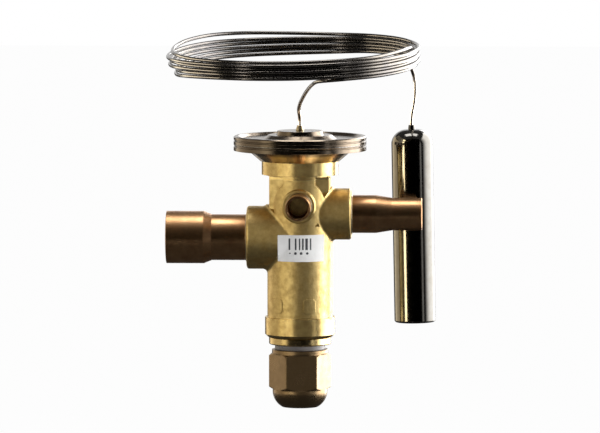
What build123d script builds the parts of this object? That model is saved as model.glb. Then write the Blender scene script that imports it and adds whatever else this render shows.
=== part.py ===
"""Thermostatic expansion valve: forged brass straightway body with solder ends, external equalizer stub,
welded power head, coiled capillary tube with sensing bulb, and a capped superheat setting spindle below."""

import os
from math import cos, floor, radians, sin, tan

from build123d import *

# Driving dimensions, in millimetres. The origin is the centre of the outlet socket's mouth, +Z is up the stem,
# and heights are given from the outlet axis.
outlet_reach = 61.5  # outlet mouth to stem axis
inlet_reach = 56.1  # stem axis to inlet mouth
inlet_rise = 10.9  # inlet axis above the outlet axis
port_reach = 28.0  # stem axis to the mouth of the equalizer stub
port_rise = 15.55

running_gap = 0.05  # radial, between pieces that slide or turn
thread_gap = 0.1  # radial, between a plain thread and its nut
press_gap = 0.02  # radial, between pieces that are pressed or brazed together

# Body
barrel_r = 15.0
band_r = 17.6
band_bottom = 29.2
body_top = 35.4
collar_r = 16.1
collar_top = -36.5
body_bottom = -45.7
collar_chamfer = 1.3
edge_round = 0.6
small_bevel = 0.5
thread_lead = 0.8
outlet_boss_r = 14.5
outlet_boss_reach = 24.4
inlet_boss_r = 11.8
inlet_boss_reach = 23.7
boss_round = 1.2
outlet_crotch_round = 2.2
inlet_crotch_round = 1.6
port_boss_r = 7.9
port_boss_reach = 16.2
port_boss_bevel = 0.7
port_pad_r = 11.8
neck_half_width = 14.0  # across the flats at the sides of the neck
pocket_bottom = 6.0
pocket_depth_inner = 8.4  # the pockets' floors, from the stem axis, at the rib
pocket_depth_outer = 6.4  # and at the sides of the neck
pocket_land = 0.8  # left standing round the side bosses
rib_half_width = 7.3
pad_height = 0.35
pad_width = 5.6
pad_tall = 6.6
pad_centres = [(-10.6, -30.7), (4.9, -30.7)]

# Passages in the body
outlet_passage_r = 8.8
outlet_chamber_r = 9.6
inlet_passage_r = 5.4
inlet_chamber_r = 6.2
port_passage_r = 4.0
passage_end = 8.5  # from the stem axis to the inner end of the outlet and equalizer passages
balance_hole_r = 1.6
balance_hole_y = -10.0
seat_web_bottom = 1.5
seat_web_top = 5.0
chamber_top = 17.5
head_seat_r = 13.5
head_seat_depth = 4.4
plug_thread_r = 11.0
plug_thread_top = -30.0
keyway_width = 2.4
keyway_r = 10.8
keyway_top = -8.0

# Solder stubs
outlet_socket_r = 11.15
outlet_socket_length = 16.5
outlet_wall = 0.9
outlet_tube_r = 10.55
outlet_swage_length = 17.3
outlet_taper_end = 21.0
outlet_bore_r = 9.55
outlet_seat_depth = 8.0
inlet_socket_r = 6.4
inlet_socket_length = 12.0
inlet_mouth_r = 7.5
inlet_tube_r = 8.7
inlet_bore_r = 7.6
inlet_stop_r = 5.9
inlet_taper_start = 35.0  # from the stem axis
inlet_taper_end = 42.3
inlet_seat_depth = 7.0
port_socket_r = 4.8
port_socket_length = 8.0
port_tube_r = 5.8
port_seat_depth = 4.0
mouth_round = 0.3

# Inlet strainer
strainer_rim_thickness = 0.8
strainer_length = 14.0
strainer_root_r = 6.6
strainer_tip_r = 3.2
strainer_wall = 0.5
strainer_rows = 4
strainer_holes_per_row = 9
strainer_hole_r = 0.7

# Label
label_thickness = 0.2
label_bottom = -10.0
label_top = 2.3
label_left = -9.7
label_right = 11.5

# Power head
rim_r = 30.5
rim_bottom = 40.3
rim_top = 46.9
rim_groove = 0.45
rim_groove_height = 0.4
rim_groove_slope = 0.2
lower_groove_drop = 0.5  # below the diaphragm
upper_groove_lift = 1.4  # above the diaphragm
base_floor_r = 18.3
base_cone_r = 23.3
base_cone_top = 39.7
head_sheet = 1.3
spigot_wall = 1.5
clamp_r = 25.0  # where the two flanges start to hold the diaphragm
diaphragm_thickness = 0.25
diaphragm_bottom = 43.1
diaphragm_r = 30.0
corrugation_start = 13.0
corrugation_pitch = 1.8
corrugation_height = 0.3
cover_rim_width = 2.1
cover_floor = 45.7
cover_floor_r = 27.2
cover_step_r = 14.6
cover_step_top = 47.4
cover_step_slope = 2.2
cover_crown_r = 10.35
cover_top = 49.3
pad_r = 11.0
pad_thickness = 2.0
pad_hub_r = 3.6
pad_hub_bottom = 36.2

# Stem
rod_r = 1.5
rod_top = 38.2
rod_bottom = 0.2
guide_r = 6.0
guide_bottom = 18.2
guide_flange_r = 8.0
guide_flange_thickness = 1.6
seal_pocket_r = 3.3
seal_pocket_depth = 3.2
seal_wire_r = 0.85
retainer_thickness = 0.9

# Seat, cone and spring
orifice_r = 2.6
seat_r = 4.5
seat_flange_r = 6.5
seat_bottom = 0.3
seat_chamfer = 0.8
cone_tip_r = 1.9
cone_r = 4.6
cone_flange_r = 6.6
cone_flange_top = -2.0
cone_flange_bottom = -3.4
cone_bottom = -6.2
spring_wire_r = 0.65
spring_mean_r = 5.6
spring_turns = 5
carrier_top = -18.0
carrier_thickness = 4.0
carrier_r = 9.3
carrier_spigot_r = 4.75
carrier_spigot_height = 2.0
carrier_hub_r = 6.5
carrier_hub_height = 2.0
key_width = 2.2

# Setting spindle, bottom plug and seal cap
spindle_thread_r = 3.95
spindle_top = -13.5
spindle_r = 3.0
spindle_collar_r = 5.6
spindle_collar_height = 1.8
spindle_bottom = -66.5
spindle_square = 4.2
spindle_square_length = 4.5
plug_top = -31.0
plug_flange_r = 14.25
plug_flange_bottom = -49.2
plug_neck_r = 9.0
plug_bottom = -60.0
plug_seal_outer_r = 13.1
plug_seal_thickness = 0.5
packing_r = 4.6
packing_top = -50.0
packing_height = 3.1
gland_hex = 8.0
gland_hex_height = 2.3
cap_seal_r = 11.5
cap_seal_bottom = -51.6
cap_rim_r = 12.9
cap_rim_height = 1.8
cap_hex = 24.8
cap_hex_turn = 5.0
cap_hex_bottom = -69.9
cap_hex_bevel = 1.0
cap_shoulder_height = 1.5
cap_shoulder_r = 12.6
cap_end_r = 8.25
cap_end_sag = 1.1  # the arc of the domed end passes this far in from the shoulder
cap_end_lift = 3.2  # and this far above the end
cap_bottom = -78.2
cap_thread_length = 10.5
cap_bore_r = 7.6
cap_bore_bottom = -72.5

# Bulb, by its foot and its top on the axis, from the stem axis
bulb_r = 9.525
bulb_foot = (52.6, 20.0, -40.8)
bulb_head = (50.9, 20.0, 48.6)
bulb_dome = 6.6
bulb_dome_flat = 2.4
bulb_foot_round = 1.0
bulb_collar_r = 1.7
bulb_collar_height = 2.0

# Capillary tube
capillary_r = 0.85
ferrule_r = 1.9
ferrule_top_r = 1.3
ferrule_height = 2.4
ferrule_band = 0.5
bulb_lead_straight = 6.0
coil_centre_x = -2.9  # from the stem axis
coil_radius = 57.2
coil_bottom = 78.1
coil_turns = 6
coil_step = 20.0
coil_start = -66.0
coil_end = -42.0
coil_tilt_y = 0.044
coil_tilt_x = 0.016
wire_nest = 0.55  # how far the turns stand out and in by turns, as they nest
nest_change = 90.0  # the quarter at the back left where they change over

# Round the coil from the right, each eighth of a turn: the pitch, and how far the ring stands above its plane
coil_pitches = [1.42, 1.42, 1.74, 1.86, 1.82, 1.46, 1.42, 1.42]
coil_waves = [1.2, 2.3, 0.2, -0.2, -1.6, -0.2, -0.3, 0.0]

# Where single turns leave the bundle: turn, middle and half width of the stretch in degrees, out and up
loose_stretches = [
    (5, 132, 65, 0.4, 1.6),
    (5, 185, 50, -0.9, 0.0),
    (4, 186, 50, 0.4, -0.6),
    (2, 184, 50, -0.6, -0.4),
    (1, 184, 55, -3.0, -1.0),
    (0, 186, 60, -3.6, -1.2),
]

# Places that follow from the driving dimensions
stem_x = outlet_reach
stem_axis = Axis((stem_x, 0, 0), (0, 0, 1))
inlet_axis = Axis((stem_x, 0, inlet_rise), (1, 0, 0))
port_axis = Axis((stem_x, 0, port_rise), (0, 1, 0))
stem_section = Plane(origin=(stem_x, 0, 0), x_dir=(1, 0, 0), z_dir=(0, -1, 0))
outlet_section = Plane(origin=(0, 0, 0), x_dir=(1, 0, 0), z_dir=(0, -1, 0))
inlet_section = Plane(origin=(stem_x, 0, inlet_rise), x_dir=(1, 0, 0), z_dir=(0, -1, 0))
port_section = Plane(origin=(stem_x, 0, port_rise), x_dir=(0, -1, 0), z_dir=(1, 0, 0))
outlet_face = Plane(origin=(stem_x, 0, 0), x_dir=(0, 1, 0), z_dir=(-1, 0, 0))
inlet_face = Plane(origin=(stem_x, 0, inlet_rise), x_dir=(0, 1, 0), z_dir=(1, 0, 0))
port_face = Plane(origin=(stem_x, 0, port_rise), x_dir=(1, 0, 0), z_dir=(0, -1, 0))
crossing_curves = (GeomType.BSPLINE, GeomType.ELLIPSE, GeomType.OTHER)


def stem_plane(height):
    """The horizontal plane at a height, with its origin on the stem axis."""
    return Plane(origin=(stem_x, 0, height))


def save(piece, name):
    """Labels a finished piece and writes it under its own name."""
    piece.label = name
    export_step(piece, f"parts/{name}.step")


# Pockets in the neck, either side of the rib and the round pad of the equalizer port, with flats beside them
with BuildPart() as neck_pockets:
    outside = barrel_r + 1
    with BuildSketch(stem_plane(pocket_bottom)):
        for side in (-1, 1):
            with BuildLine():
                Polyline(
                    (side * rib_half_width, -outside),
                    (side * rib_half_width, -pocket_depth_inner),
                    (side * neck_half_width, -pocket_depth_outer),
                    (side * neck_half_width, outside),
                    (side * outside, outside),
                    (side * outside, -outside),
                    close=True,
                )
            make_face()
    extrude(amount=band_bottom - edge_round - pocket_bottom)
    with BuildSketch(port_face):
        Circle(port_pad_r)
    extrude(amount=outside, mode=Mode.SUBTRACT)
    with BuildSketch(outlet_face):
        Circle(outlet_boss_r + pocket_land)
    extrude(amount=outlet_boss_reach, mode=Mode.SUBTRACT)
    with BuildSketch(inlet_face):
        Circle(inlet_boss_r + pocket_land)
    extrude(amount=inlet_boss_reach, mode=Mode.SUBTRACT)

# Raised pads on the barrel
with BuildPart() as marking_pads:
    with BuildSketch(stem_section):
        with Locations(*pad_centres):
            RectangleRounded(pad_width, pad_tall, pad_width / 4)
    extrude(amount=barrel_r + 1)
    with BuildSketch(stem_plane(collar_top)):
        Circle(barrel_r + pad_height)
    extrude(amount=-collar_top, mode=Mode.INTERSECT)

# Barrel and side bosses, rounded where they cross
with BuildPart() as crossing:
    with BuildSketch(stem_plane(collar_top)):
        Circle(barrel_r)
    extrude(amount=band_bottom - collar_top)
    with BuildSketch(outlet_face):
        Circle(outlet_boss_r)
    extrude(amount=outlet_boss_reach)
    outlet_crotch = crossing.edges().filter_by(lambda edge: edge.geom_type in crossing_curves)
    fillet(outlet_crotch, outlet_crotch_round)
    with BuildSketch(inlet_face):
        Circle(inlet_boss_r)
    extrude(amount=inlet_boss_reach)
    inlet_crotch = crossing.edges().filter_by(
        lambda edge: edge.geom_type in crossing_curves and edge.center().X > stem_x
    )
    fillet(inlet_crotch, inlet_crotch_round)
    fillet(crossing.faces().sort_by(Axis.X)[0].edges(), boss_round)
    fillet(crossing.faces().sort_by(Axis.X)[-1].edges(), boss_round)

# Valve body
with BuildPart() as valve_body:
    add(crossing.part)
    add(neck_pockets.part, mode=Mode.SUBTRACT)
    with BuildSketch(port_face):
        Circle(port_boss_r)
    extrude(amount=port_boss_reach)
    chamfer(valve_body.faces().sort_by(Axis.Y)[0].edges(), port_boss_bevel)
    with BuildSketch(stem_plane(band_bottom)):
        Circle(band_r)
    extrude(amount=body_top - band_bottom)
    with BuildSketch(stem_plane(body_bottom)):
        Circle(collar_r)
    extrude(amount=collar_top - body_bottom)
    chamfer(valve_body.faces().sort_by(Axis.Z)[0].edges(), collar_chamfer)
    add(marking_pads.part)

    # Bores along the stem, from the head down to the plug
    with BuildSketch(stem_section):
        with BuildLine():
            Polyline(
                (0, body_top),
                (head_seat_r, body_top),
                (head_seat_r, body_top - head_seat_depth),
                (guide_r + press_gap, body_top - head_seat_depth),
                (guide_r + press_gap, chamber_top),
                (inlet_chamber_r, chamber_top),
                (inlet_chamber_r, seat_web_top),
                (seat_r + press_gap, seat_web_top),
                (seat_r + press_gap, seat_web_bottom),
                (outlet_chamber_r, seat_web_bottom),
                (outlet_chamber_r, plug_thread_top),
                (plug_thread_r, plug_thread_top),
                (plug_thread_r, body_bottom + plug_seal_thickness),
                (plug_seal_outer_r + press_gap, body_bottom + plug_seal_thickness),
                (plug_seal_outer_r + press_gap, body_bottom),
                (0, body_bottom),
                close=True,
            )
        make_face()
    revolve(axis=stem_axis, mode=Mode.SUBTRACT)
    with BuildSketch(stem_plane(plug_thread_top)):
        with Locations((0, keyway_r / 2)):
            Rectangle(keyway_width, keyway_r)
    extrude(amount=keyway_top - plug_thread_top, mode=Mode.SUBTRACT)

    # Side passages and the sockets that the stubs are brazed into
    with BuildSketch(outlet_face.offset(passage_end)):
        Circle(outlet_passage_r)
    extrude(amount=outlet_boss_reach - passage_end, mode=Mode.SUBTRACT)
    with BuildSketch(outlet_face.offset(outlet_boss_reach - outlet_seat_depth)):
        Circle(outlet_tube_r + press_gap)
    extrude(amount=outlet_seat_depth, mode=Mode.SUBTRACT)
    with BuildSketch(inlet_face):
        Circle(inlet_passage_r)
    extrude(amount=inlet_boss_reach, mode=Mode.SUBTRACT)
    with BuildSketch(inlet_face.offset(inlet_boss_reach - inlet_seat_depth)):
        Circle(inlet_tube_r + press_gap)
    extrude(amount=inlet_seat_depth, mode=Mode.SUBTRACT)
    with BuildSketch(port_face.offset(passage_end)):
        Circle(port_passage_r)
    extrude(amount=port_boss_reach - passage_end, mode=Mode.SUBTRACT)
    with BuildSketch(port_face.offset(port_boss_reach - port_seat_depth)):
        Circle(port_tube_r + press_gap)
    extrude(amount=port_seat_depth, mode=Mode.SUBTRACT)
    with BuildSketch(stem_plane(port_rise)):
        with Locations((0, balance_hole_y)):
            Circle(balance_hole_r)
    extrude(amount=body_top - head_seat_depth - port_rise, mode=Mode.SUBTRACT)
save(valve_body.part, "valve_body")

# Outlet stub, swaged out to a solder socket
with BuildPart() as outlet_tube:
    outlet_tube_end = stem_x - outlet_boss_reach + outlet_seat_depth
    with BuildSketch(outlet_section):
        with BuildLine():
            Polyline(
                (0, outlet_socket_r),
                (outlet_socket_length, outlet_socket_r),
                (outlet_socket_length + outlet_socket_r - outlet_bore_r, outlet_bore_r),
                (outlet_tube_end, outlet_bore_r),
                (outlet_tube_end, outlet_tube_r),
                (outlet_taper_end, outlet_tube_r),
                (outlet_swage_length, outlet_socket_r + outlet_wall),
                (0, outlet_socket_r + outlet_wall),
                close=True,
            )
        make_face()
    revolve(axis=Axis.X)
    fillet(outlet_tube.faces().sort_by(Axis.X)[0].edges(), mouth_round)
save(outlet_tube.part, "outlet_tube")

# Inlet stub, reduced to a smaller solder socket at its mouth
with BuildPart() as inlet_tube:
    inlet_tube_end = inlet_boss_reach - inlet_seat_depth + strainer_rim_thickness
    with BuildSketch(inlet_section):
        with BuildLine():
            Polyline(
                (inlet_tube_end, inlet_bore_r),
                (inlet_taper_start, inlet_bore_r),
                (inlet_taper_end, inlet_stop_r),
                (inlet_reach - inlet_socket_length, inlet_stop_r),
                (inlet_reach - inlet_socket_length, inlet_socket_r),
                (inlet_reach, inlet_socket_r),
                (inlet_reach, inlet_mouth_r),
                (inlet_taper_end, inlet_mouth_r),
                (inlet_taper_start, inlet_tube_r),
                (inlet_tube_end, inlet_tube_r),
                close=True,
            )
        make_face()
    revolve(axis=inlet_axis)
    fillet(inlet_tube.faces().sort_by(Axis.X)[-1].edges(), mouth_round)
save(inlet_tube.part, "inlet_tube")

# Equalizer stub, square to the flow
with BuildPart() as equalizer_tube:
    port_tube_end = port_boss_reach - port_seat_depth
    with BuildSketch(port_section):
        with BuildLine():
            Polyline(
                (port_tube_end, port_passage_r),
                (port_reach - port_socket_length, port_passage_r),
                (port_reach - port_socket_length, port_socket_r),
                (port_reach, port_socket_r),
                (port_reach, port_tube_r),
                (port_tube_end, port_tube_r),
                close=True,
            )
        make_face()
    revolve(axis=port_axis)
    fillet(equalizer_tube.faces().sort_by(Axis.Y)[0].edges(), mouth_round)
save(equalizer_tube.part, "equalizer_tube")

# Inlet strainer: a perforated thimble whose rim is held between the stub and the floor of its socket
with BuildPart() as inlet_strainer:
    strainer_foot = inlet_boss_reach - inlet_seat_depth
    strainer_tip = strainer_foot + strainer_length
    with BuildSketch(inlet_section):
        with BuildLine():
            Polyline(
                (strainer_foot, strainer_root_r - strainer_wall),
                (strainer_tip - strainer_wall, strainer_tip_r - strainer_wall),
                (strainer_tip - strainer_wall, 0),
                (strainer_tip, 0),
                (strainer_tip, strainer_tip_r),
                (strainer_foot + strainer_rim_thickness, strainer_root_r),
                (strainer_foot + strainer_rim_thickness, inlet_tube_r),
                (strainer_foot, inlet_tube_r),
                close=True,
            )
        make_face()
    revolve(axis=inlet_axis)
    row_pitch = strainer_length / (strainer_rows + 1)
    for row in range(strainer_rows):
        row_x = strainer_foot + (row + 1) * row_pitch
        for hole in range(strainer_holes_per_row):
            angle = 360 * (hole + row % 2 / 2) / strainer_holes_per_row
            radial = Vector(0, cos(radians(angle)), sin(radians(angle)))
            hole_plane = Plane(origin=(stem_x + row_x, 0, inlet_rise), x_dir=(1, 0, 0), z_dir=radial)
            with BuildSketch(hole_plane):
                Circle(strainer_hole_r)
            extrude(amount=strainer_root_r, mode=Mode.SUBTRACT)
save(inlet_strainer.part, "inlet_strainer")

# Label, laid over the crossing of barrel and outlet boss
with BuildPart() as label:
    with BuildSketch(stem_plane(collar_top)):
        Circle(barrel_r + label_thickness)
    extrude(amount=band_bottom - collar_top)
    with BuildSketch(outlet_face):
        Circle(outlet_boss_r + label_thickness)
    extrude(amount=outlet_boss_reach)
    label_crotch = label.edges().filter_by(lambda edge: edge.geom_type in crossing_curves)
    fillet(label_crotch, outlet_crotch_round - label_thickness)
    with BuildSketch(stem_plane(label_bottom)):
        with Locations(((label_left + label_right) / 2, -barrel_r / 2)):
            Rectangle(label_right - label_left, barrel_r + 2 * label_thickness)
    extrude(amount=label_top - label_bottom, mode=Mode.INTERSECT)
    add(crossing.part, mode=Mode.SUBTRACT)
save(label.part, "label")

# Head base: a dished flange with a spigot that stands in the body
with BuildPart() as head_base:
    base_floor_top = body_top + head_sheet
    cone_inner_r = base_floor_r - head_sheet / 2
    lower_groove_top = diaphragm_bottom - lower_groove_drop
    with BuildSketch(stem_section):
        with BuildLine():
            Polyline(
                (head_seat_r - press_gap - spigot_wall, body_top - head_seat_depth),
                (head_seat_r - press_gap, body_top - head_seat_depth),
                (head_seat_r - press_gap, body_top),
                (base_floor_r, body_top),
                (base_cone_r, base_cone_top),
                (base_cone_r, rim_bottom),
                (rim_r, rim_bottom),
                (rim_r, lower_groove_top - rim_groove_height - rim_groove_slope),
                (rim_r - rim_groove, lower_groove_top - rim_groove_height),
                (rim_r - rim_groove, lower_groove_top),
                (rim_r, lower_groove_top + rim_groove_slope),
                (rim_r, diaphragm_bottom),
                (clamp_r, diaphragm_bottom),
                (clamp_r - head_sheet, diaphragm_bottom - head_sheet / 2),
                (base_cone_r - head_sheet, base_cone_top + head_sheet),
                (cone_inner_r, base_floor_top),
                (head_seat_r - press_gap - spigot_wall, base_floor_top),
                close=True,
            )
        make_face()
    revolve(axis=stem_axis)
save(head_base.part, "head_base")

# Diaphragm: a thin corrugated disc, clamped and welded between the two flanges
with BuildPart() as diaphragm:
    corrugations = int((clamp_r - corrugation_start) / corrugation_pitch)
    with BuildSketch(stem_section):
        with BuildLine():
            for side in (0, 1):
                height = diaphragm_bottom + side * diaphragm_thickness
                Line((0, height), (corrugation_start, height))
                for wave in range(corrugations):
                    inner = corrugation_start + wave * corrugation_pitch
                    swing = corrugation_height if wave % 2 == 0 else -corrugation_height
                    ThreePointArc(
                        (inner, height),
                        (inner + corrugation_pitch / 2, height + swing),
                        (inner + corrugation_pitch, height),
                    )
                Line((corrugation_start + corrugations * corrugation_pitch, height), (diaphragm_r, height))
            Line((0, diaphragm_bottom), (0, diaphragm_bottom + diaphragm_thickness))
            Line((diaphragm_r, diaphragm_bottom), (diaphragm_r, diaphragm_bottom + diaphragm_thickness))
        make_face()
    revolve(axis=stem_axis)
save(diaphragm.part, "diaphragm")

# Head cover: a flat ring with a raised stepped crown
with BuildPart() as head_cover:
    cover_bottom = diaphragm_bottom + diaphragm_thickness
    upper_groove_bottom = cover_bottom + upper_groove_lift
    upper_groove_top = upper_groove_bottom + rim_groove_height
    with BuildSketch(stem_section):
        with BuildLine():
            Polyline(
                (capillary_r + press_gap, cover_top - head_sheet),
                (cover_crown_r - head_sheet, cover_top - head_sheet),
                (cover_crown_r - head_sheet, cover_step_top - head_sheet),
                (cover_step_r - head_sheet / 2, cover_step_top - head_sheet),
                (cover_step_r + head_sheet, cover_floor - head_sheet),
                (clamp_r - head_sheet, cover_floor - head_sheet),
                (clamp_r, cover_bottom),
                (rim_r, cover_bottom),
                (rim_r, upper_groove_bottom - rim_groove_slope),
                (rim_r - rim_groove, upper_groove_bottom),
                (rim_r - rim_groove, upper_groove_top),
                (rim_r, upper_groove_top + rim_groove_slope),
                (rim_r, rim_top - small_bevel),
                (rim_r - small_bevel, rim_top),
                (rim_r - cover_rim_width, rim_top),
                (cover_floor_r, cover_floor),
                (cover_step_r + cover_step_slope, cover_floor),
                (cover_step_r, cover_step_top),
                (cover_crown_r + small_bevel, cover_step_top),
                (cover_crown_r, cover_top),
                (capillary_r + press_gap, cover_top),
                close=True,
            )
        make_face()
    revolve(axis=stem_axis)
save(head_cover.part, "head_cover")

# Thrust pad, under the diaphragm
with BuildPart() as thrust_pad:
    pad_top = diaphragm_bottom - running_gap
    with BuildSketch(stem_section):
        with BuildLine():
            Polyline(
                (0, pad_top),
                (pad_r, pad_top),
                (pad_r, pad_top - pad_thickness / 2),
                (pad_r - pad_thickness / 2, pad_top - pad_thickness),
                (pad_hub_r + pad_thickness / 2, pad_top - pad_thickness),
                (pad_hub_r, pad_top - pad_thickness * 1.5),
                (pad_hub_r, pad_hub_bottom),
                (rod_r + press_gap, pad_hub_bottom),
                (rod_r + press_gap, rod_top),
                (0, rod_top),
                close=True,
            )
        make_face()
    revolve(axis=stem_axis)
save(thrust_pad.part, "thrust_pad")

# Push rod
with BuildPart() as push_rod:
    with BuildSketch(stem_plane(rod_bottom)):
        Circle(rod_r)
    extrude(amount=rod_top - rod_bottom)
    chamfer(push_rod.edges().filter_by(GeomType.CIRCLE), rod_r / 6)
save(push_rod.part, "push_rod")

# Rod guide: a flanged bush with a pocket for the rod seal
with BuildPart() as rod_guide:
    guide_flange_bottom = body_top - head_seat_depth
    guide_top = guide_flange_bottom + guide_flange_thickness
    with BuildSketch(stem_section):
        with BuildLine():
            Polyline(
                (rod_r + running_gap, guide_bottom),
                (guide_r - small_bevel, guide_bottom),
                (guide_r, guide_bottom + small_bevel),
                (guide_r, guide_flange_bottom),
                (guide_flange_r, guide_flange_bottom),
                (guide_flange_r, guide_top),
                (seal_pocket_r, guide_top),
                (seal_pocket_r, guide_top - seal_pocket_depth),
                (rod_r + running_gap, guide_top - seal_pocket_depth),
                close=True,
            )
        make_face()
    revolve(axis=stem_axis)
save(rod_guide.part, "rod_guide")

# Rod seal: an O-ring on the floor of the pocket
with BuildPart() as rod_seal:
    with BuildSketch(stem_section):
        with Locations((rod_r + running_gap + seal_wire_r, guide_top - seal_pocket_depth + seal_wire_r)):
            Circle(seal_wire_r)
    revolve(axis=stem_axis)
save(rod_seal.part, "rod_seal")

# Seal retainer: a washer that keeps the O-ring in its pocket
with BuildPart() as seal_retainer:
    with BuildSketch(stem_plane(guide_top - seal_pocket_depth + 2 * seal_wire_r)):
        Circle(seal_pocket_r - press_gap)
        Circle(rod_r + 2 * running_gap, mode=Mode.SUBTRACT)
    extrude(amount=retainer_thickness)
save(seal_retainer.part, "seal_retainer")

# Orifice seat, pressed up into the web between the two chambers
with BuildPart() as orifice_seat:
    with BuildSketch(stem_section):
        with BuildLine():
            Polyline(
                (orifice_r + seat_chamfer, seat_bottom),
                (seat_flange_r, seat_bottom),
                (seat_flange_r, seat_web_bottom),
                (seat_r, seat_web_bottom),
                (seat_r, seat_web_top),
                (orifice_r + seat_chamfer / 2, seat_web_top),
                (orifice_r, seat_web_top - seat_chamfer / 2),
                (orifice_r, seat_bottom + seat_chamfer),
                close=True,
            )
        make_face()
    revolve(axis=stem_axis)
save(orifice_seat.part, "orifice_seat")

# Valve cone: 45 degree seating face, spring flange and spigot
with BuildPart() as valve_cone:
    cone_face_r = orifice_r - running_gap
    cone_face_height = seat_bottom + seat_chamfer
    with BuildSketch(stem_section):
        with BuildLine():
            Polyline(
                (0, rod_bottom),
                (rod_r + press_gap, rod_bottom),
                (rod_r + press_gap, cone_face_height + cone_face_r - cone_tip_r),
                (cone_tip_r, cone_face_height + cone_face_r - cone_tip_r),
                (cone_r, cone_face_height + cone_face_r - cone_r),
                (cone_r, cone_flange_top),
                (cone_flange_r, cone_flange_top),
                (cone_flange_r, cone_flange_bottom),
                (cone_r, cone_flange_bottom),
                (cone_r, cone_bottom + small_bevel),
                (cone_r - small_bevel, cone_bottom),
                (0, cone_bottom),
                close=True,
            )
        make_face()
    revolve(axis=stem_axis)
save(valve_cone.part, "valve_cone")

# Superheat spring, between the cone's flange and the carrier
with BuildPart() as superheat_spring:
    spring_height = cone_flange_bottom - carrier_top - 2 * spring_wire_r
    spring_plane = stem_plane(carrier_top + spring_wire_r)
    with BuildLine(spring_plane):
        spring_line = Helix(pitch=spring_height / spring_turns, height=spring_height, radius=spring_mean_r)
    with BuildSketch(Plane(origin=spring_line @ 0, z_dir=spring_line % 0)):
        Circle(spring_wire_r)
    sweep(path=spring_line, is_frenet=True)
save(superheat_spring.part, "superheat_spring")

# Spring carrier: a nut on the setting spindle, kept from turning by its key
with BuildPart() as spring_carrier:
    with BuildSketch(stem_section):
        with BuildLine():
            Polyline(
                (spindle_thread_r + thread_gap, carrier_top + carrier_spigot_height),
                (carrier_spigot_r, carrier_top + carrier_spigot_height),
                (carrier_spigot_r, carrier_top),
                (carrier_r, carrier_top),
                (carrier_r, carrier_top - carrier_thickness),
                (carrier_hub_r, carrier_top - carrier_thickness),
                (carrier_hub_r, carrier_top - carrier_thickness - carrier_hub_height),
                (spindle_thread_r + thread_gap, carrier_top - carrier_thickness - carrier_hub_height),
                close=True,
            )
        make_face()
    revolve(axis=stem_axis)
    key_reach = keyway_r - 2 * running_gap
    with BuildSketch(stem_plane(carrier_top - carrier_thickness)):
        with Locations((0, (carrier_r - 1 + key_reach) / 2)):
            Rectangle(key_width, key_reach - carrier_r + 1)
    extrude(amount=carrier_thickness)
save(spring_carrier.part, "spring_carrier")

# Setting spindle: threaded end, thrust collar, plain shank and square for the key
with BuildPart() as setting_spindle:
    collar_seat = plug_top + running_gap
    shank_bottom = spindle_bottom + spindle_square_length
    with BuildSketch(stem_section):
        with BuildLine():
            Polyline(
                (0, shank_bottom),
                (spindle_r, shank_bottom),
                (spindle_r, collar_seat),
                (spindle_collar_r, collar_seat),
                (spindle_collar_r, collar_seat + spindle_collar_height),
                (spindle_thread_r, collar_seat + spindle_collar_height),
                (spindle_thread_r, spindle_top - thread_lead),
                (spindle_thread_r - thread_lead, spindle_top),
                (0, spindle_top),
                close=True,
            )
        make_face()
    revolve(axis=stem_axis)
    with BuildSketch(stem_plane(spindle_bottom)):
        Rectangle(spindle_square, spindle_square)
    extrude(amount=spindle_square_length)
    chamfer(setting_spindle.faces().sort_by(Axis.Z)[0].edges(), small_bevel)
save(setting_spindle.part, "setting_spindle")

# Bottom plug: screwed into the body, with a flange, a packing box and the thread for the seal cap
with BuildPart() as bottom_plug:
    with BuildSketch(stem_section):
        with BuildLine():
            Polyline(
                (spindle_r + running_gap, plug_top),
                (plug_thread_r - thread_gap - thread_lead, plug_top),
                (plug_thread_r - thread_gap, plug_top - thread_lead),
                (plug_thread_r - thread_gap, body_bottom),
                (plug_flange_r, body_bottom),
                (plug_flange_r, plug_flange_bottom),
                (plug_neck_r, plug_flange_bottom),
                (plug_neck_r, plug_bottom + thread_lead),
                (plug_neck_r - thread_lead, plug_bottom),
                (packing_r, plug_bottom),
                (packing_r, packing_top),
                (spindle_r + running_gap, packing_top),
                close=True,
            )
        make_face()
    revolve(axis=stem_axis)
    fillet(bottom_plug.edges().filter_by(GeomType.CIRCLE).sort_by(SortBy.LENGTH)[-2:], edge_round)
save(bottom_plug.part, "bottom_plug")

# Plug seal, in the recess at the foot of the body
with BuildPart() as plug_seal:
    with BuildSketch(stem_plane(body_bottom)):
        Circle(plug_seal_outer_r)
        Circle(plug_thread_r - thread_gap + press_gap, mode=Mode.SUBTRACT)
    extrude(amount=plug_seal_thickness)
save(plug_seal.part, "plug_seal")

# Packing ring round the spindle
with BuildPart() as packing_ring:
    with BuildSketch(stem_plane(packing_top - packing_height)):
        Circle(packing_r - press_gap)
        Circle(spindle_r + running_gap, mode=Mode.SUBTRACT)
    extrude(amount=packing_height)
save(packing_ring.part, "packing_ring")

# Gland nut: presses the packing up round the spindle
with BuildPart() as gland_nut:
    with BuildSketch(stem_plane(plug_bottom)):
        Circle(packing_r - press_gap)
    extrude(amount=packing_top - packing_height - plug_bottom)
    with BuildSketch(stem_plane(plug_bottom - gland_hex_height)):
        RegularPolygon(gland_hex / 2, 6, major_radius=False)
    extrude(amount=gland_hex_height)
    with BuildSketch(stem_plane(plug_bottom - gland_hex_height)):
        Circle(spindle_r + running_gap)
    extrude(amount=packing_top - plug_bottom + gland_hex_height, mode=Mode.SUBTRACT)
save(gland_nut.part, "gland_nut")

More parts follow.
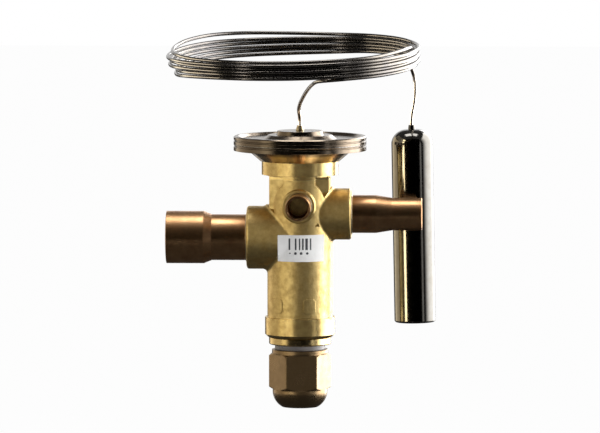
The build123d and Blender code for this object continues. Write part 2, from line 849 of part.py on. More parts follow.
# Cap seal, between the plug's flange and the cap
with BuildPart() as cap_seal:
    with BuildSketch(stem_plane(cap_seal_bottom)):
        Circle(cap_seal_r)
        Circle(plug_neck_r + thread_gap, mode=Mode.SUBTRACT)
    extrude(amount=plug_flange_bottom - cap_seal_bottom)
    fillet(cap_seal.edges().filter_by(GeomType.CIRCLE).sort_by(SortBy.LENGTH)[-2:], edge_round / 2)
save(cap_seal.part, "cap_seal")

# Seal cap: round rim, hexagon and domed end, hollow over the spindle
with BuildPart() as seal_cap:
    cap_rim_bottom = cap_seal_bottom - cap_rim_height
    hex_corner_r = cap_hex / 2 / cos(radians(30))
    with BuildSketch(stem_plane(cap_hex_bottom)):
        RegularPolygon(cap_hex / 2, 6, major_radius=False, rotation=cap_hex_turn)
    extrude(amount=cap_rim_bottom - cap_hex_bottom)
    with BuildSketch(stem_section):
        with BuildLine():
            Polyline(
                (0, cap_rim_bottom),
                (cap_rim_r, cap_rim_bottom),
                (hex_corner_r, cap_rim_bottom - cap_hex_bevel),
                (hex_corner_r, cap_hex_bottom + cap_hex_bevel),
                (cap_shoulder_r, cap_hex_bottom),
                (0, cap_hex_bottom),
                close=True,
            )
        make_face()
    revolve(axis=stem_axis, mode=Mode.INTERSECT)
    with BuildSketch(stem_plane(cap_rim_bottom)):
        Circle(cap_rim_r)
    extrude(amount=cap_rim_height)
    with BuildSketch(stem_section):
        with BuildLine():
            Line((0, cap_hex_bottom), (cap_shoulder_r, cap_hex_bottom))
            Line((cap_shoulder_r, cap_hex_bottom), (cap_shoulder_r, cap_hex_bottom - cap_shoulder_height))
            ThreePointArc(
                (cap_shoulder_r, cap_hex_bottom - cap_shoulder_height),
                (cap_shoulder_r - cap_end_sag, cap_bottom + cap_end_lift),
                (cap_end_r, cap_bottom),
            )
            Line((cap_end_r, cap_bottom), (0, cap_bottom))
            Line((0, cap_bottom), (0, cap_hex_bottom))
        make_face()
    revolve(axis=stem_axis)
    with BuildSketch(stem_plane(cap_seal_bottom)):
        Circle(plug_neck_r + thread_gap)
    extrude(amount=-cap_thread_length, mode=Mode.SUBTRACT)
    with BuildSketch(stem_plane(cap_seal_bottom)):
        Circle(cap_bore_r)
    extrude(amount=cap_bore_bottom - cap_seal_bottom, mode=Mode.SUBTRACT)
save(seal_cap.part, "seal_cap")

# Bulb, leaning a little, with its collar where the capillary tube goes in
foot = Vector(stem_x + bulb_foot[0], bulb_foot[1], bulb_foot[2])
head = Vector(stem_x + bulb_head[0], bulb_head[1], bulb_head[2])
lean = (head - foot).normalized()
bulb_length = (head - foot).length
bulb_section = Plane(origin=foot, x_dir=Vector(0, -1, 0).cross(lean) * -1, z_dir=(0, -1, 0))
bulb_axis = Axis(foot, lean)
with BuildPart() as bulb:
    with BuildSketch(bulb_section):
        with BuildLine():
            Line((0, 0), (bulb_r, 0))
            Line((bulb_r, 0), (bulb_r, bulb_length - bulb_dome))
            EllipticalCenterArc(
                center=(bulb_dome_flat, bulb_length - bulb_dome),
                x_radius=bulb_r - bulb_dome_flat,
                y_radius=bulb_dome,
                start_angle=0,
                arc_size=90,
            )
            Line((bulb_dome_flat, bulb_length), (0, bulb_length))
            Line((0, bulb_length), (0, 0))
        make_face()
    revolve(axis=bulb_axis)
    fillet(bulb.edges().filter_by(GeomType.CIRCLE).group_by(Axis.Z)[0], bulb_foot_round)
save(bulb.part, "bulb")

with BuildPart() as bulb_collar:
    with BuildSketch(Plane(origin=head, z_dir=lean)):
        Circle(bulb_collar_r)
        Circle(capillary_r + press_gap, mode=Mode.SUBTRACT)
    extrude(amount=bulb_collar_height, taper=8)
save(bulb_collar.part, "bulb_collar")

# Ferrule, brazed on the crown where the capillary tube enters the head
with BuildPart() as capillary_ferrule:
    with BuildSketch(stem_section):
        with BuildLine():
            Polyline(
                (capillary_r + press_gap, cover_top),
                (ferrule_r, cover_top),
                (ferrule_r, cover_top + ferrule_band),
                (ferrule_top_r, cover_top + ferrule_height),
                (capillary_r + press_gap, cover_top + ferrule_height),
                close=True,
            )
        make_face()
    revolve(axis=stem_axis)
save(capillary_ferrule.part, "capillary_ferrule")

# Capillary tube: up from the head, forward to the coil, round its turns, down inside them and on to the bulb
tube_start = cover_top - head_sheet
head_lead = [
    (0, 0, tube_start),
    (0, 0, 55.0),
    (-0.6, -2.2, 59.0),
    (0.3, -8.0, 62.3),
    (2.0, -16.0, 65.7),
    (4.1, -26.0, 69.3),
    (6.5, -37.0, 72.5),
    (9.1, -46.0, 74.7),
    (13.0, -51.6, 75.4),
]


def eased(part):
    """From 0 to 1, level at both ends."""
    return part * part * (3 - 2 * part)


def around_coil(values, angle):
    """The value at an angle round the coil, eased between the values of the eighths."""
    place = (angle % 360) / 45
    eighth = int(place)
    part = eased(place - eighth)
    return values[eighth % 8] * (1 - part) + values[(eighth + 1) % 8] * part


def nest_at(angle):
    """How far the wire stands out to nest beside the turn below, changing over at the back left."""
    turn = floor((angle - nest_change) / 360)
    part = eased(min((angle - nest_change - 360 * turn) / nest_change, 1))
    side = 1 if turn % 2 == 0 else -1
    return wire_nest * side * (2 * part - 1)


def ring_point(angle, out, up):
    """A point beside the coil, from its angle, how far outside the mean radius and how far above the plane."""
    radius = coil_radius + out
    x = radius * cos(radians(angle))
    y = radius * sin(radians(angle))
    return (coil_centre_x + x, y, coil_bottom + up + coil_tilt_y * y + coil_tilt_x * x)


def coil_point(turned):
    """A point of the coil, from the angle turned since its start."""
    angle = coil_start + turned
    # The arcs pass inside the points, so the points stand out by this much
    stand_out = coil_radius * (1 / cos(radians(coil_step / 2)) - 1) / 2
    out = nest_at(angle) + stand_out
    up = around_coil(coil_pitches, angle) * turned / 360 + around_coil(coil_waves, angle)
    for turn, middle, half_width, bulge, lift in loose_stretches:
        off = abs(angle - 360 * turn - middle) / half_width
        if off < 1:
            out += bulge * cos(radians(90 * off)) ** 2
            up += lift * cos(radians(90 * off)) ** 2
    return ring_point(angle, out, up)


coil = []
coil_sweep = coil_turns * 360 + coil_end - coil_start
for index in range(round(coil_sweep / coil_step) + 1):
    coil.append(coil_point(index * coil_step))

tuck = [
    ring_point(-26.0, -0.8, 9.9),
    ring_point(-12.0, -2.2, 9.7),
    ring_point(0.0, -2.9, 8.0),
    ring_point(9.0, -3.0, 4.6),
    ring_point(15.0, -2.7, 1.0),
    ring_point(19.0, -0.6, -2.4),
]
bulb_lead = [
    (head.X - stem_x + 1.5, head.Y, 72.0),
    (head.X - stem_x + 1.6, head.Y, 63.0),
]
bulb_entry = [head + lean * bulb_lead_straight, head]
route_points = [Vector(stem_x + x, y, z) for x, y, z in head_lead + coil + tuck + bulb_lead] + bulb_entry


def route_radii(points):
    """For each corner, the largest arc that its two runs allow."""
    radii = []
    for before, corner, after in zip(points, points[1:], points[2:]):
        turn = radians((corner - before).get_angle(after - corner))
        radii.append(0.45 * min((corner - before).length, (after - corner).length) / tan(turn / 2))
    return radii


capillary_radii = route_radii(route_points)
with BuildPart() as capillary_tube:
    with BuildLine():
        capillary_line = FilletPolyline(*route_points, radius=capillary_radii)
    with BuildSketch(Plane(origin=capillary_line @ 0, z_dir=capillary_line % 0)):
        Circle(capillary_r)
    sweep(path=capillary_line)
save(capillary_tube.part, "capillary_tube")
print(f"capillary tube length {capillary_line.length:.0f} mm, tightest bend {min(capillary_radii):.1f} mm")
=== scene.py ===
"""Dresses the expansion valve and lights it as a product shot on white."""

import math

import bpy
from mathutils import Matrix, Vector


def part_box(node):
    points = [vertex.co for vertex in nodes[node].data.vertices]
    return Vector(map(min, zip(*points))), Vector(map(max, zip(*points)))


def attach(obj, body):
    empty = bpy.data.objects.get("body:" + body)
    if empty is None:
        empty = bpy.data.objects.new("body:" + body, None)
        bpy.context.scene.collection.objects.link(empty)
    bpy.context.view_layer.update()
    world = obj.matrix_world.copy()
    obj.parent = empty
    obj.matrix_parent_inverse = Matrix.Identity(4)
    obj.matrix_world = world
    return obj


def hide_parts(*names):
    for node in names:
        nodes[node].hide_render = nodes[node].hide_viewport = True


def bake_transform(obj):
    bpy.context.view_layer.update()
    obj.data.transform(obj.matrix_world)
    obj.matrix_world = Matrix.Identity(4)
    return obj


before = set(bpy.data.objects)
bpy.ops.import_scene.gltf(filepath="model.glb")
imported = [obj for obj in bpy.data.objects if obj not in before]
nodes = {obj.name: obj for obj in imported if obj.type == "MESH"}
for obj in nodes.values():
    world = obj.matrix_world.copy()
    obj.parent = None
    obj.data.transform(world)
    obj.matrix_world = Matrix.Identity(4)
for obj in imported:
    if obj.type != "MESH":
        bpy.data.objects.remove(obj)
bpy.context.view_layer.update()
stem_x = 0.0615
quarter = math.pi / 2


# Materials


def metal(name, colour, second_colour, roughness, roughness_swing, patch_scale, patch_amount, grain_scale,
          grain_depth, dent_scale=0.0, dent_depth=0.0, stretch=(1, 1, 1), edge_radius=0.00025):
    """A metal whose colour and polish drift in patches, with a fine grain and softened edges.

    Patches, grain and dents are given as noise scales per metre, and the depths and the edge in metres.
    """
    material = bpy.data.materials.new(name)
    material.use_nodes = True
    shapes = material.node_tree.nodes
    links = material.node_tree.links
    shader = shapes["Principled BSDF"]
    shader.inputs["Metallic"].default_value = 1.0
    place = shapes.new("ShaderNodeTexCoord")
    centre = shapes.new("ShaderNodeMapping")
    centre.inputs["Location"].default_value = (-stem_x, 0, 0)
    centre.inputs["Scale"].default_value = stretch
    links.new(place.outputs["Object"], centre.inputs["Vector"])
    drift = shapes.new("ShaderNodeTexNoise")
    drift.inputs["Scale"].default_value = patch_scale
    drift.inputs["Detail"].default_value = 6.0
    drift.inputs["Roughness"].default_value = 0.6
    links.new(centre.outputs["Vector"], drift.inputs["Vector"])
    spread = shapes.new("ShaderNodeMapRange")
    spread.inputs["From Min"].default_value = 0.38
    spread.inputs["From Max"].default_value = 0.66
    spread.inputs["To Max"].default_value = patch_amount
    links.new(drift.outputs["Fac"], spread.inputs["Value"])
    tint = shapes.new("ShaderNodeMix")
    tint.data_type = "RGBA"
    tint.inputs["A"].default_value = (*colour, 1)
    tint.inputs["B"].default_value = (*second_colour, 1)
    links.new(spread.outputs["Result"], tint.inputs["Factor"])
    links.new(tint.outputs["Result"], shader.inputs["Base Color"])
    dull = shapes.new("ShaderNodeMapRange")
    dull.inputs["From Min"].default_value = 0.3
    dull.inputs["From Max"].default_value = 0.7
    dull.inputs["To Min"].default_value = roughness - roughness_swing
    dull.inputs["To Max"].default_value = roughness + roughness_swing
    links.new(drift.outputs["Fac"], dull.inputs["Value"])
    links.new(dull.outputs["Result"], shader.inputs["Roughness"])
    fine = shapes.new("ShaderNodeTexNoise")
    fine.inputs["Scale"].default_value = grain_scale
    fine.inputs["Detail"].default_value = 3.0
    links.new(centre.outputs["Vector"], fine.inputs["Vector"])
    relief = shapes.new("ShaderNodeBump")
    relief.inputs["Distance"].default_value = grain_depth
    links.new(fine.outputs["Fac"], relief.inputs["Height"])
    links.new(relief.outputs["Normal"], shader.inputs["Normal"])
    outer_relief = relief
    if dent_scale:
        broad = shapes.new("ShaderNodeTexNoise")
        broad.inputs["Scale"].default_value = dent_scale
        broad.inputs["Detail"].default_value = 2.0
        links.new(centre.outputs["Vector"], broad.inputs["Vector"])
        waves = shapes.new("ShaderNodeBump")
        waves.inputs["Distance"].default_value = dent_depth
        links.new(broad.outputs["Fac"], waves.inputs["Height"])
        links.new(waves.outputs["Normal"], relief.inputs["Normal"])
        outer_relief = waves
    if edge_radius:
        corner = shapes.new("ShaderNodeBevel")
        corner.samples = 4
        corner.inputs["Radius"].default_value = edge_radius
        links.new(corner.outputs["Normal"], outer_relief.inputs["Normal"])
    return material


def object_height(material):
    """The height of the shaded point, as a socket in the material."""
    shapes = material.node_tree.nodes
    place = shapes.new("ShaderNodeTexCoord")
    parts = shapes.new("ShaderNodeSeparateXYZ")
    material.node_tree.links.new(place.outputs["Object"], parts.inputs[0])
    return parts.outputs["Z"]


def height_mask(material, height, none_at, all_at):
    """0 at one height and 1 at the other, as a socket in the material."""
    mask = material.node_tree.nodes.new("ShaderNodeMapRange")
    mask.inputs["From Min"].default_value = none_at
    mask.inputs["From Max"].default_value = all_at
    material.node_tree.links.new(height, mask.inputs["Value"])
    return mask.outputs["Result"]


def machine(material, above, below, roughness, fade=0.0002):
    """Turns the forging's skin into smooth machined metal above one height and below another."""
    shapes = material.node_tree.nodes
    links = material.node_tree.links
    shader = shapes["Principled BSDF"]
    height = object_height(material)
    upper = height_mask(material, height, above - fade, above + fade)
    lower = height_mask(material, height, below + fade, below - fade)
    turned = shapes.new("ShaderNodeMath")
    turned.operation = "ADD"
    turned.use_clamp = True
    links.new(upper, turned.inputs[0])
    links.new(lower, turned.inputs[1])
    skin = shader.inputs["Roughness"].links[0].from_socket
    polish = shapes.new("ShaderNodeMix")
    polish.inputs["B"].default_value = roughness
    links.new(turned.outputs[0], polish.inputs["Factor"])
    links.new(skin, polish.inputs["A"])
    links.new(polish.outputs["Result"], shader.inputs["Roughness"])
    rough_share = shapes.new("ShaderNodeMath")
    rough_share.operation = "SUBTRACT"
    rough_share.inputs[0].default_value = 1.0
    links.new(turned.outputs[0], rough_share.inputs[1])
    for relief in [shape for shape in shapes if shape.type == "BUMP"]:
        links.new(rough_share.outputs[0], relief.inputs["Strength"])


def paint_sheen_below(material, below, colour, fade_above=0.0004, fade_below=0.0008):
    """Paints a steel a lighter colour below a height: a painted sheen, standing in for the light that falls
    on it there.
    """
    shapes = material.node_tree.nodes
    links = material.node_tree.links
    shader = shapes["Principled BSDF"]
    sheen_mask = height_mask(material, object_height(material), below + fade_above, below - fade_below)
    skin = shader.inputs["Base Color"].links[0].from_socket
    sheened_colour = shapes.new("ShaderNodeMix")
    sheened_colour.data_type = "RGBA"
    sheened_colour.inputs["B"].default_value = (*colour, 1)
    links.new(sheen_mask, sheened_colour.inputs["Factor"])
    links.new(skin, sheened_colour.inputs["A"])
    links.new(sheened_colour.outputs["Result"], shader.inputs["Base Color"])


def coating(name, colour, second_colour, roughness, patch_scale, patch_amount, grain_scale, grain_depth):
    """The same build without the metal: paper, rubber and plastic."""
    material = metal(
        name, colour, second_colour, roughness, 0.05, patch_scale, patch_amount, grain_scale, grain_depth
    )
    material.node_tree.nodes["Principled BSDF"].inputs["Metallic"].default_value = 0.0
    return material


machined_above_z = 0.0272
machined_below_z = -0.0361
# The head base's lower cone gets a painted sheen below this height.
head_sheen_z = 0.0388
under_coil_z = 0.0735
forged_brass = metal(
    "forged brass", colour=(0.72, 0.54, 0.225), second_colour=(0.53, 0.37, 0.14), roughness=0.43,
    roughness_swing=0.07, patch_scale=330, patch_amount=0.9, grain_scale=1600, grain_depth=0.00003,
    dent_scale=380, dent_depth=0.00014,
)
machine(forged_brass, above=machined_above_z, below=machined_below_z, roughness=0.26)
copper = metal(
    "dark copper", colour=(0.60, 0.35, 0.17), second_colour=(0.40, 0.20, 0.09), roughness=0.34,
    roughness_swing=0.05, patch_scale=150, patch_amount=0.8, grain_scale=900, grain_depth=0.000002,
    dent_scale=160, dent_depth=0.000012,
)
head_finish = dict(
    colour=(0.19, 0.152, 0.115), second_colour=(0.12, 0.09, 0.06), roughness=0.22, roughness_swing=0.05,
    patch_scale=220, patch_amount=0.45, grain_scale=1800, grain_depth=0.000002,
)
head_steel = metal("head steel", **head_finish)
head_base_steel = metal("head base steel", **head_finish)
# Painted sheen: the head base is a lighter, warm colour on its cone below the rim, standing in for light on
# it.
paint_sheen_below(head_base_steel, head_sheen_z, colour=(0.62, 0.47, 0.27))
bulb_steel = metal(
    "bulb steel", colour=(0.12, 0.115, 0.105), second_colour=(0.085, 0.075, 0.06), roughness=0.12,
    roughness_swing=0.03, patch_scale=260, patch_amount=0.45, grain_scale=2200, grain_depth=0.000003,
    dent_scale=200, dent_depth=0.000006,
)
capillary_steel = metal(
    "capillary steel", colour=(0.19, 0.172, 0.15), second_colour=(0.10, 0.095, 0.10), roughness=0.2,
    roughness_swing=0.04, patch_scale=90, patch_amount=0.7, grain_scale=2500, grain_depth=0.0000005,
    edge_radius=0,
)
# Painted highlight: the capillary's riser below the coil is pale, standing in for its reflection.
paint_sheen_below(capillary_steel, under_coil_z, colour=(0.78, 0.70, 0.60))
cap_brass = metal(
    "cap brass", colour=(0.30, 0.205, 0.11), second_colour=(0.22, 0.145, 0.072), roughness=0.30,
    roughness_swing=0.05, patch_scale=200, patch_amount=0.6, grain_scale=1300, grain_depth=0.000008,
    dent_scale=500, dent_depth=0.00003, edge_radius=0.0009,
)
lathe_finish = dict(
    roughness_swing=0.05, patch_scale=300, patch_amount=0.6, grain_scale=1500, grain_depth=0.000008,
    stretch=(1, 1, 4),
)
turned_brass = metal(
    "turned brass", colour=(0.72, 0.54, 0.25), second_colour=(0.58, 0.42, 0.18), roughness=0.24,
    **lathe_finish
)
turned_steel = metal(
    "turned steel", colour=(0.52, 0.51, 0.50), second_colour=(0.40, 0.39, 0.38), roughness=0.25,
    **lathe_finish
)
drawn_finish = dict(
    roughness=0.30, roughness_swing=0.05, patch_scale=300, patch_amount=0.6, grain_scale=2500,
    grain_depth=0.000006,
)
strainer_steel = metal(
    "strainer sheet", colour=(0.50, 0.49, 0.47), second_colour=(0.40, 0.39, 0.36), **drawn_finish
)
spring_steel = metal(
    "spring steel", colour=(0.40, 0.39, 0.38), second_colour=(0.30, 0.29, 0.28), **drawn_finish
)
braze_alloy = metal(
    "braze alloy", colour=(0.62, 0.52, 0.34), second_colour=(0.40, 0.31, 0.18), roughness=0.34,
    roughness_swing=0.08, patch_scale=500, patch_amount=0.8, grain_scale=2500, grain_depth=0.00003,
)
gasket_copper = metal(
    "gasket copper", colour=(0.66, 0.38, 0.24), second_colour=(0.50, 0.27, 0.16), roughness=0.30,
    roughness_swing=0.05, patch_scale=300, patch_amount=0.6, grain_scale=2500, grain_depth=0.00001,
)
label_paper = coating(
    "label paper", colour=(0.86, 0.86, 0.85), second_colour=(0.80, 0.79, 0.78), roughness=0.55,
    patch_scale=300, patch_amount=0.6, grain_scale=3000, grain_depth=0.000004,
)
label_ink = coating(
    "label ink", colour=(0.045, 0.05, 0.06), second_colour=(0.08, 0.08, 0.09), roughness=0.5,
    patch_scale=900, patch_amount=0.8, grain_scale=3000, grain_depth=0.000004,
)
moulded_finish = dict(patch_scale=300, patch_amount=0.6, grain_scale=2500, grain_depth=0.00001)
grey_plastic = coating(
    "grey seal plastic", colour=(0.26, 0.24, 0.23), second_colour=(0.18, 0.165, 0.16), roughness=0.45,
    **moulded_finish
)
black_rubber = coating(
    "seal rubber", colour=(0.03, 0.03, 0.03), second_colour=(0.05, 0.05, 0.05), roughness=0.55,
    **moulded_finish
)
packing_fibre = coating(
    "packing fibre", colour=(0.10, 0.10, 0.10), second_colour=(0.16, 0.16, 0.15), roughness=0.70,
    patch_scale=400, patch_amount=0.6, grain_scale=3000, grain_depth=0.00003,
)

finish_of = {
    "valve_body": forged_brass,
    "outlet_tube": copper,
    "inlet_tube": copper,
    "equalizer_tube": copper,
    "inlet_strainer": strainer_steel,
    "label": label_paper,
    "head_base": head_base_steel,
    "diaphragm": turned_steel,
    "head_cover": head_steel,
    "thrust_pad": turned_brass,
    "push_rod": turned_steel,
    "rod_guide": turned_brass,
    "rod_seal": black_rubber,
    "seal_retainer": turned_brass,
    "orifice_seat": turned_steel,
    "valve_cone": turned_steel,
    "superheat_spring": spring_steel,
    "spring_carrier": turned_brass,
    "setting_spindle": turned_steel,
    "bottom_plug": turned_brass,
    "plug_seal": gasket_copper,
    "packing_ring": packing_fibre,
    "gland_nut": turned_brass,
    "cap_seal": grey_plastic,
    "seal_cap": cap_brass,
    "bulb": bulb_steel,
    "bulb_collar": bulb_steel,
    "capillary_ferrule": braze_alloy,
    "capillary_tube": capillary_steel,
}
for node, finish in finish_of.items():
    nodes[node].data.materials.clear()
    nodes[node].data.materials.append(finish)


def select_nothing():
    """Keeps the next operator off everything that exists so far."""
    bpy.ops.object.select_all(action="DESELECT")


def finish_piece(piece, body, finish):
    """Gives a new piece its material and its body."""
    piece.data.materials.clear()
    piece.data.materials.append(finish)
    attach(piece, body)


# Braze beads, where the three stubs enter the forging


def braze_bead(name, centre, lean, ring_r, bead_r, seed):
    """A slightly uneven bead round a joint, half sunk into both pieces that it joins."""
    select_nothing()
    bpy.ops.mesh.primitive_torus_add(
        location=centre, rotation=lean, major_radius=ring_r, minor_radius=bead_r, major_segments=120,
        minor_segments=12,
    )
    bead = bpy.context.object
    bead.name = name
    bpy.ops.object.mode_set(mode="EDIT")
    bpy.ops.mesh.select_all(action="SELECT")
    bpy.ops.transform.vertex_random(offset=bead_r * 0.22, seed=seed)
    bpy.ops.mesh.vertices_smooth(factor=0.5, repeat=3)
    bpy.ops.object.mode_set(mode="OBJECT")
    bpy.ops.object.shade_smooth()
    bpy.ops.object.transform_apply(location=True, rotation=True, scale=True)
    finish_piece(bead, "valve", braze_alloy)


body_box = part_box("valve_body")
outlet_tube_r = 0.01055
inlet_tube_r = 0.0087
port_tube_r = 0.0058
side_bead_r = 0.0006
port_bead_r = 0.0005
inlet_z = 0.0109
port_z = 0.01555
port_boss_y = -0.0162
along_x = (0, quarter, 0)
along_y = (quarter, 0, 0)
braze_bead("outlet_braze", (body_box[0][0], 0, 0), along_x, outlet_tube_r, side_bead_r, seed=3)
braze_bead("inlet_braze", (body_box[1][0], 0, inlet_z), along_x, inlet_tube_r, side_bead_r, seed=5)
braze_bead("port_braze", (stem_x, port_boss_y, port_z), along_y, port_tube_r, port_bead_r, seed=8)


# The spring as two halves that meet in its middle

spring_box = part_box("superheat_spring")
spring_foot = spring_box[0][2]
spring_top = spring_box[1][2]
spring_middle = (spring_foot + spring_top) / 2


def spring_half(name, upper):
    """One half of the spring, cut off at its middle; upper keeps the top half."""
    select_nothing()
    half = bpy.data.objects.new(name, nodes["superheat_spring"].data.copy())
    bpy.context.scene.collection.objects.link(half)
    half.select_set(True)
    bpy.context.view_layer.objects.active = half
    bpy.ops.object.mode_set(mode="EDIT")
    bpy.ops.mesh.select_all(action="SELECT")
    bpy.ops.mesh.bisect(
        plane_co=(stem_x, 0, spring_middle), plane_no=(0, 0, 1), use_fill=True, clear_inner=upper,
        clear_outer=not upper,
    )
    bpy.ops.object.mode_set(mode="OBJECT")
    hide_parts("superheat_spring")
    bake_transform(half)


spring_half("spring_upper_half", upper=True)
spring_half("spring_lower_half", upper=False)


# Print on the label: plain bars over dots

print_start_y = -0.020


def wrap_on_label(mark):
    """Lays a flat printed shape over the label's face and gives it the thickness of ink."""
    bpy.ops.object.transform_apply(location=True, rotation=True, scale=True)
    wrap = mark.modifiers.new("wrap", "SHRINKWRAP")
    wrap.target = nodes["label"]
    wrap.wrap_method = "PROJECT"
    wrap.use_project_y = True
    wrap.use_positive_direction = True
    wrap.offset = 0.00003
    bpy.ops.object.modifier_apply(modifier="wrap")
    skin = mark.modifiers.new("skin", "SOLIDIFY")
    skin.thickness = 0.00004
    skin.offset = 0
    bpy.ops.object.modifier_apply(modifier="skin")
    finish_piece(mark, "valve", label_ink)


def printed_bar(name, across, height, width, tall):
    """An upright bar of the print."""
    select_nothing()
    bpy.ops.mesh.primitive_plane_add(
        size=1, location=(stem_x + across, print_start_y, height), rotation=(quarter, 0, 0)
    )
    bar = bpy.context.object
    bar.name = name
    bar.scale = (width, tall, 1)
    bpy.ops.object.mode_set(mode="EDIT")
    bpy.ops.mesh.select_all(action="SELECT")
    bpy.ops.mesh.subdivide(number_cuts=4)
    bpy.ops.object.mode_set(mode="OBJECT")
    wrap_on_label(bar)


def printed_dot(name, across, height, radius):
    """A round dot of the print."""
    select_nothing()
    bpy.ops.mesh.primitive_circle_add(
        vertices=20, radius=radius, fill_type="NGON", location=(stem_x + across, print_start_y, height),
        rotation=(quarter, 0, 0),
    )
    dot = bpy.context.object
    dot.name = name
    bpy.ops.object.mode_set(mode="EDIT")
    bpy.ops.mesh.select_all(action="SELECT")
    bpy.ops.mesh.inset(thickness=radius * 0.4)
    bpy.ops.object.mode_set(mode="OBJECT")
    wrap_on_label(dot)


mm = 0.001
bar_row_z = -0.0019
bar_tall = 0.0053
dot_row_z = -0.0061
bars_across_and_width_mm = [(-4.3, 0.75), (-1.4, 0.75), (0.4, 0.6), (1.9, 0.75), (3.6, 1.1), (5.4, 0.6)]
for number, (across, width) in enumerate(bars_across_and_width_mm):
    printed_bar(f"label_bar_{number}", across * mm, bar_row_z, width * mm, bar_tall)
dots_across_and_radius_mm = [(-4.1, 0.32), (-1.5, 0.62), (1.1, 0.62), (3.9, 0.55)]
for number, (across, radius) in enumerate(dots_across_and_radius_mm):
    printed_dot(f"label_dot_{number}", across * mm, dot_row_z, radius * mm)


# Camera, at the photograph's angle

view_turn = math.radians(2.2)
view_rise = math.radians(4.8)
lens = 400.0
sensor_width = 36.0
frame_width_px = 600
pixel = 0.00046
distance = frame_width_px * pixel * lens / sensor_width
aim = Vector((stem_x, 0, 0.00965))
back = Vector((
    math.sin(view_turn) * math.cos(view_rise), -math.cos(view_turn) * math.cos(view_rise), math.sin(view_rise)
))
bpy.ops.object.camera_add(location=aim + back * distance)
camera = bpy.context.object
camera.rotation_euler = back.to_track_quat("Z", "Y").to_euler()
camera.data.lens = lens
camera.data.clip_start = 0.05
camera.data.clip_end = 30.0
bpy.context.scene.camera = camera


# White background, which camera, glossy and transmission rays see, over a softer fill


def seen_by(tree):
    """1 for rays that show the white background: camera, glossy and transmission rays."""
    path = tree.nodes.new("ShaderNodeLightPath")
    first = tree.nodes.new("ShaderNodeMath")
    first.operation = "MAXIMUM"
    tree.links.new(path.outputs["Is Camera Ray"], first.inputs[0])
    tree.links.new(path.outputs["Is Glossy Ray"], first.inputs[1])
    second = tree.nodes.new("ShaderNodeMath")
    second.operation = "MAXIMUM"
    tree.links.new(first.outputs[0], second.inputs[0])
    tree.links.new(path.outputs["Is Transmission Ray"], second.inputs[1])
    return second.outputs[0]


world = bpy.data.worlds.new("studio")
bpy.context.scene.world = world
world.use_nodes = True
room_tree = world.node_tree
room_tree.nodes.clear()
soft_fill = room_tree.nodes.new("ShaderNodeBackground")
soft_fill.inputs["Color"].default_value = (1.0, 1.0, 1.0, 1)
soft_fill.inputs["Strength"].default_value = 0.4
white = room_tree.nodes.new("ShaderNodeBackground")
white.inputs["Color"].default_value = (1.0, 1.0, 1.0, 1)
white.inputs["Strength"].default_value = 1.0
either = room_tree.nodes.new("ShaderNodeMixShader")
room_output = room_tree.nodes.new("ShaderNodeOutputWorld")
room_tree.links.new(seen_by(room_tree), either.inputs["Fac"])
room_tree.links.new(soft_fill.outputs[0], either.inputs[1])
room_tree.links.new(white.outputs[0], either.inputs[2])
room_tree.links.new(either.outputs[0], room_output.inputs["Surface"])


# Light: softboxes, and cards out of shot that the metal reflects

middle = (stem_x, 0, 0.01)


def aimed_from(piece, turn, rise, far):
    """Places a light or a card round the valve and turns its face to the valve's middle.

    turn is the angle from the camera's side and rise the angle up, in degrees.
    """
    turn_angle = math.radians(turn)
    rise_angle = math.radians(rise)
    centre = Vector((
        middle[0] + far * math.sin(turn_angle) * math.cos(rise_angle),
        -far * math.cos(turn_angle) * math.cos(rise_angle),
        middle[2] + far * math.sin(rise_angle),
    ))
    piece.location = centre
    piece.rotation_euler = (Vector(middle) - centre).to_track_quat("-Z", "Y").to_euler()


def softbox(name, turn, rise, far, width, height, watts, colour=(1, 1, 1)):
    """An area lamp that stays out of the picture."""
    bpy.ops.object.light_add(type="AREA")
    lamp = bpy.context.object
    lamp.name = name
    lamp.data.shape = "RECTANGLE"
    lamp.data.size = width
    lamp.data.size_y = height
    lamp.data.energy = watts
    lamp.data.color = colour
    lamp.visible_camera = False
    aimed_from(lamp, turn, rise, far)
    return lamp


def card(name, turn, rise, far, width, height, level, edge_level=None, colour=(1, 1, 1)):
    """A card out of shot that the metal reflects; its level eases from edge_level to level across it."""
    bpy.ops.mesh.primitive_plane_add(size=1)
    board = bpy.context.object
    board.name = name
    board.scale = (width, height, 1)
    aimed_from(board, turn, rise, far)
    cloth = bpy.data.materials.new(name)
    cloth.use_nodes = True
    shapes = cloth.node_tree.nodes
    links = cloth.node_tree.links
    shader = shapes["Principled BSDF"]
    shader.inputs["Base Color"].default_value = (0, 0, 0, 1)
    shader.inputs["Specular IOR Level"].default_value = 0
    shader.inputs["Emission Color"].default_value = (*colour, 1)
    shader.inputs["Emission Strength"].default_value = level
    if edge_level is not None:
        spot = shapes.new("ShaderNodeTexCoord")
        across = shapes.new("ShaderNodeSeparateXYZ")
        links.new(spot.outputs["Object"], across.inputs[0])
        ease = shapes.new("ShaderNodeMapRange")
        ease.interpolation_type = "SMOOTHSTEP"
        ease.inputs["From Min"].default_value = -0.37
        ease.inputs["From Max"].default_value = -0.04
        ease.inputs["To Min"].default_value = edge_level
        ease.inputs["To Max"].default_value = level
        links.new(across.outputs["X"], ease.inputs["Value"])
        links.new(ease.outputs["Result"], shader.inputs["Emission Strength"])
    board.data.materials.append(cloth)
    board.visible_camera = False
    board.visible_shadow = False
    board.visible_diffuse = False
    return board


def only_on(lamp, *held):
    """Keeps the light of a lamp or a card on the named nodes."""
    lit_nodes = bpy.data.collections.new(lamp.name)
    for node in held:
        lit_nodes.objects.link(nodes[node])
    lamp.light_linking.receiver_collection = lit_nodes


def kept_off(board, *held):
    """Keeps a card's glow off the named nodes."""
    dark_nodes = bpy.data.collections.new(board.name)
    for node in held:
        dark_nodes.objects.link(nodes[node])
    for entry in dark_nodes.collection_objects:
        entry.light_linking.link_state = "EXCLUDE"
    board.light_linking.receiver_collection = dark_nodes


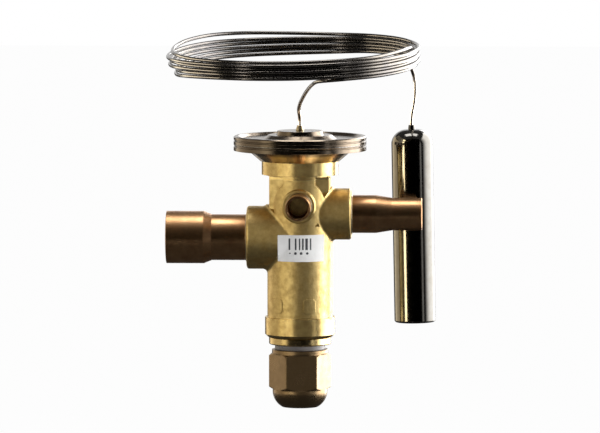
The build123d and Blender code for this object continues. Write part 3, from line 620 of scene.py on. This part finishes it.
main_light = softbox("main softbox", turn=112, rise=8, far=0.9, width=2.0, height=1.3, watts=22)
main_light.visible_glossy = False
fill_light = softbox("front fill", turn=-10, rise=30, far=1.5, width=1.0, height=1.0, watts=1.2)
fill_light.visible_glossy = False
softbox("top softbox", turn=0, rise=90, far=0.9, width=0.7, height=0.36, watts=5.0)
card("right card", turn=112, rise=8, far=0.9, width=2.8, height=1.5, level=6.5, edge_level=0.0)
body_glow = card(
    "body glow", turn=6, rise=12, far=1.05, width=1.9, height=2.3, level=0.15, colour=(1.0, 0.94, 0.84)
)
only_on(body_glow, "valve_body", "seal_cap", "label")
body_strip = card(
    "body strip", turn=-34, rise=8, far=1.0, width=0.44, height=1.2, level=1.5, colour=(1.0, 0.94, 0.78)
)
only_on(body_strip, "valve_body", "seal_cap")
left_card = card(
    "left card", turn=-93, rise=8, far=1.15, width=3.2, height=2.0, level=0.6, edge_level=1.4,
    colour=(1.0, 0.88, 0.68),
)
left_strip = card(
    "left strip", turn=-59, rise=8, far=1.0, width=0.34, height=1.4, level=1.15, colour=(1.0, 0.91, 0.68)
)
kept_off(left_card, "capillary_tube")
kept_off(left_strip, "capillary_tube")
card("ceiling card", turn=0, rise=90, far=1.05, width=2.6, height=2.4, level=0.12)
card("back card", turn=180, rise=42, far=1.2, width=2.4, height=0.6, level=0.15)
card("low back card", turn=180, rise=-11, far=1.2, width=1.7, height=0.62, level=0.08)
card("floor card", turn=0, rise=-88, far=0.28, width=1.6, height=1.6, level=0.05)

bulb_strip = softbox(
    "bulb strip", turn=-50, rise=8, far=1.0, width=0.34, height=1.2, watts=17.0, colour=(1.0, 0.84, 0.52)
)
only_on(bulb_strip, "bulb")
cone_glow = softbox(
    "cone glow", turn=90, rise=-75, far=0.26, width=0.4, height=0.5, watts=2.2, colour=(1.0, 0.78, 0.45)
)
only_on(cone_glow, "head_base")
bulb_glow = softbox(
    "bulb glow", turn=-105, rise=6, far=1.05, width=1.4, height=0.8, watts=4.5, colour=(1.0, 0.80, 0.48)
)
only_on(bulb_glow, "bulb")
coil_glow = softbox(
    "coil glow", turn=-106, rise=6, far=1.0, width=1.3, height=0.5, watts=9.0, colour=(1.0, 0.90, 0.70)
)
only_on(coil_glow, "capillary_tube")
coil_strip = softbox(
    "coil strip", turn=-45, rise=6, far=1.0, width=0.11, height=0.6, watts=1.0, colour=(1.0, 0.94, 0.84)
)
only_on(coil_strip, "capillary_tube")


# Floor, white to the camera, with the valve's soft shadow

floor_size = 14
floor_z = -0.32
bpy.ops.mesh.primitive_plane_add(size=floor_size, location=(0, 0, floor_z))
floor = bpy.context.object
floor.name = "floor"
ground = bpy.data.materials.new("floor white")
ground.use_nodes = True
ground_tree = ground.node_tree
ground_tree.nodes.clear()
lit = ground_tree.nodes.new("ShaderNodeBsdfDiffuse")
lit.inputs["Color"].default_value = (0.9, 0.9, 0.9, 1)
glow = ground_tree.nodes.new("ShaderNodeEmission")
glow.inputs["Strength"].default_value = 1.0
share = ground_tree.nodes.new("ShaderNodeMath")
share.operation = "MULTIPLY"
share.inputs[1].default_value = 0.97
ground_tree.links.new(seen_by(ground_tree), share.inputs[0])
shown = ground_tree.nodes.new("ShaderNodeMixShader")
ground_tree.links.new(share.outputs[0], shown.inputs["Fac"])
ground_tree.links.new(lit.outputs[0], shown.inputs[1])
ground_tree.links.new(glow.outputs[0], shown.inputs[2])
under = ground_tree.nodes.new("ShaderNodeBsdfTransparent")
side = ground_tree.nodes.new("ShaderNodeNewGeometry")
face = ground_tree.nodes.new("ShaderNodeMixShader")
ground_tree.links.new(side.outputs["Backfacing"], face.inputs["Fac"])
ground_tree.links.new(shown.outputs[0], face.inputs[1])
ground_tree.links.new(under.outputs[0], face.inputs[2])
ground_output = ground_tree.nodes.new("ShaderNodeOutputMaterial")
ground_tree.links.new(face.outputs[0], ground_output.inputs["Surface"])
floor.data.materials.append(ground)

bpy.context.scene.view_settings.view_transform = "Standard"
